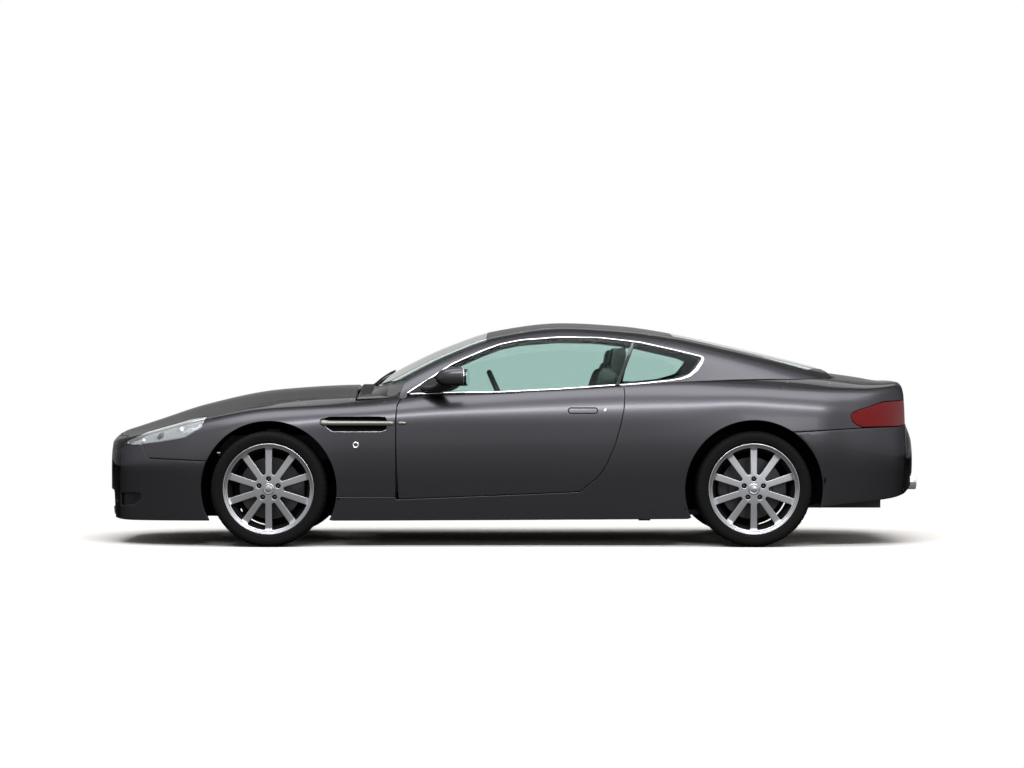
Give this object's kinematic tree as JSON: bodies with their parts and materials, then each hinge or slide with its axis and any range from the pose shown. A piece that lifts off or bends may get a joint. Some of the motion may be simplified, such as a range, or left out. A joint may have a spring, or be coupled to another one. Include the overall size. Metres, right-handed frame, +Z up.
{
  "type": "two-door coupe car",
  "caption": "Two-door grand-touring coupe with opening doors, bonnet and boot lid, steered front wheels, full glasshouse, cabin, engine block and running gear.",
  "frame": {"origin": "on the ground, under the centre of the overall bounding box", "axes": "+X forward, +Y to the car's left, +Z up"},
  "size_m": [4.704, 2.0414, 1.2842],
  "materials": {
    "bodyshell": "dark metallic",
    "roof": "dark metallic",
    "bonnet": "dark metallic",
    "boot_lid": "dark metallic",
    "front_bumper": "dark metallic",
    "rear_bumper": "dark metallic",
    "wing_left": "dark metallic",
    "wing_right": "dark metallic",
    "door_left": "dark metallic",
    "door_right": "dark metallic",
    "door_glass_left": "tinted",
    "door_glass_right": "tinted",
    "mirror_left": "dark metallic",
    "mirror_right": "dark metallic",
    "windscreen": "tinted",
    "rear_window": "tinted",
    "quarter_glass": "tinted",
    "headlamps": "clear",
    "tail_lamps": "red",
    "grille": "polished",
    "side_vents": "polished",
    "wipers": "satin",
    "floor": "satin",
    "dashboard": "grained",
    "seats": "grained",
    "steering_wheel": "grained",
    "engine": "cast",
    "driveline": "cast",
    "exhaust": "brushed",
    "front_suspension": "cast",
    "rear_suspension": "cast",
    "knuckle_left": "cast",
    "knuckle_right": "cast",
    "tyre_front_left": "matt",
    "rim_front_left": "machined",
    "brake_disc_front_left": "machined",
    "tyre_front_right": "matt",
    "rim_front_right": "machined",
    "brake_disc_front_right": "machined",
    "tyre_rear_left": "matt",
    "rim_rear_left": "machined",
    "brake_disc_rear_left": "machined",
    "tyre_rear_right": "matt",
    "rim_rear_right": "machined",
    "brake_disc_rear_right": "machined"
  },
  "bodies": {
    "body": {"bodyshell": "bodyshell", "roof": "roof", "front_bumper": "front_bumper", "rear_bumper": "rear_bumper", "wing_left": "wing_left", "wing_right": "wing_right", "windscreen": "windscreen", "rear_window": "rear_window", "quarter_glass": "quarter_glass", "headlamps": "headlamps", "tail_lamps": "tail_lamps", "grille": "grille", "side_vents": "side_vents", "wipers": "wipers", "floor": "floor", "dashboard": "dashboard", "seats": "seats", "steering_wheel": "steering_wheel", "engine": "engine", "driveline": "driveline", "exhaust": "exhaust", "front_suspension": "front_suspension", "rear_suspension": "rear_suspension"},
    "door_left": {"door_left": "door_left", "door_glass_left": "door_glass_left", "mirror_left": "mirror_left"},
    "door_right": {"door_right": "door_right", "door_glass_right": "door_glass_right", "mirror_right": "mirror_right"},
    "bonnet": {"bonnet": "bonnet"},
    "boot_lid": {"boot_lid": "boot_lid"},
    "knuckle_left": {"knuckle_left": "knuckle_left"},
    "knuckle_right": {"knuckle_right": "knuckle_right"},
    "wheel_front_left": {"tyre_front_left": "tyre_front_left", "rim_front_left": "rim_front_left", "brake_disc_front_left": "brake_disc_front_left"},
    "wheel_front_right": {"tyre_front_right": "tyre_front_right", "rim_front_right": "rim_front_right", "brake_disc_front_right": "brake_disc_front_right"},
    "wheel_rear_left": {"tyre_rear_left": "tyre_rear_left", "rim_rear_left": "rim_rear_left", "brake_disc_rear_left": "brake_disc_rear_left"},
    "wheel_rear_right": {"tyre_rear_right": "tyre_rear_right", "rim_rear_right": "rim_rear_right", "brake_disc_rear_right": "brake_disc_rear_right"}
  },
  "joints": [
    {"name": "steer_left", "type": "hinge", "parent": "body", "child": "knuckle_left", "pos_m": [1.368, 0.7, 0.328], "axis": [0, 0, 1], "range_deg": [-30, 30]},
    {"name": "steer_right", "type": "hinge", "parent": "body", "child": "knuckle_right", "pos_m": [1.368, -0.7, 0.328], "axis": [0, 0, 1], "range_deg": [-30, 30]},
    {"name": "wheel_spin_front_left", "type": "hinge", "parent": "knuckle_left", "child": "wheel_front_left", "pos_m": [1.368, 0.784, 0.328], "axis": [0, 1, 0], "continuous": true},
    {"name": "wheel_spin_front_right", "type": "hinge", "parent": "knuckle_right", "child": "wheel_front_right", "pos_m": [1.368, -0.784, 0.328], "axis": [0, 1, 0], "continuous": true},
    {"name": "wheel_spin_rear_left", "type": "hinge", "parent": "body", "child": "wheel_rear_left", "pos_m": [-1.372, 0.778, 0.328], "axis": [0, 1, 0], "continuous": true},
    {"name": "wheel_spin_rear_right", "type": "hinge", "parent": "body", "child": "wheel_rear_right", "pos_m": [-1.372, -0.778, 0.328], "axis": [0, 1, 0], "continuous": true},
    {"name": "door_left_hinge", "type": "hinge", "parent": "body", "child": "door_left", "pos_m": [0.54, 0.88, 0.53], "axis": [0, 0, -1], "range_deg": [0, 62]},
    {"name": "door_right_hinge", "type": "hinge", "parent": "body", "child": "door_right", "pos_m": [0.54, -0.88, 0.53], "axis": [0, 0, 1], "range_deg": [0, 62]},
    {"name": "bonnet_hinge", "type": "hinge", "parent": "body", "child": "bonnet", "pos_m": [0.882, 0, 0.922], "axis": [0, -1, 0], "range_deg": [0, 55]},
    {"name": "boot_lid_hinge", "type": "hinge", "parent": "body", "child": "boot_lid", "pos_m": [-1.838, 0, 1.008], "axis": [0, 1, 0], "range_deg": [0, 60]}
  ],
  "couplings": [
    {"joint": "steer_right", "follows": "steer_left", "ratio": 1}
  ]
}
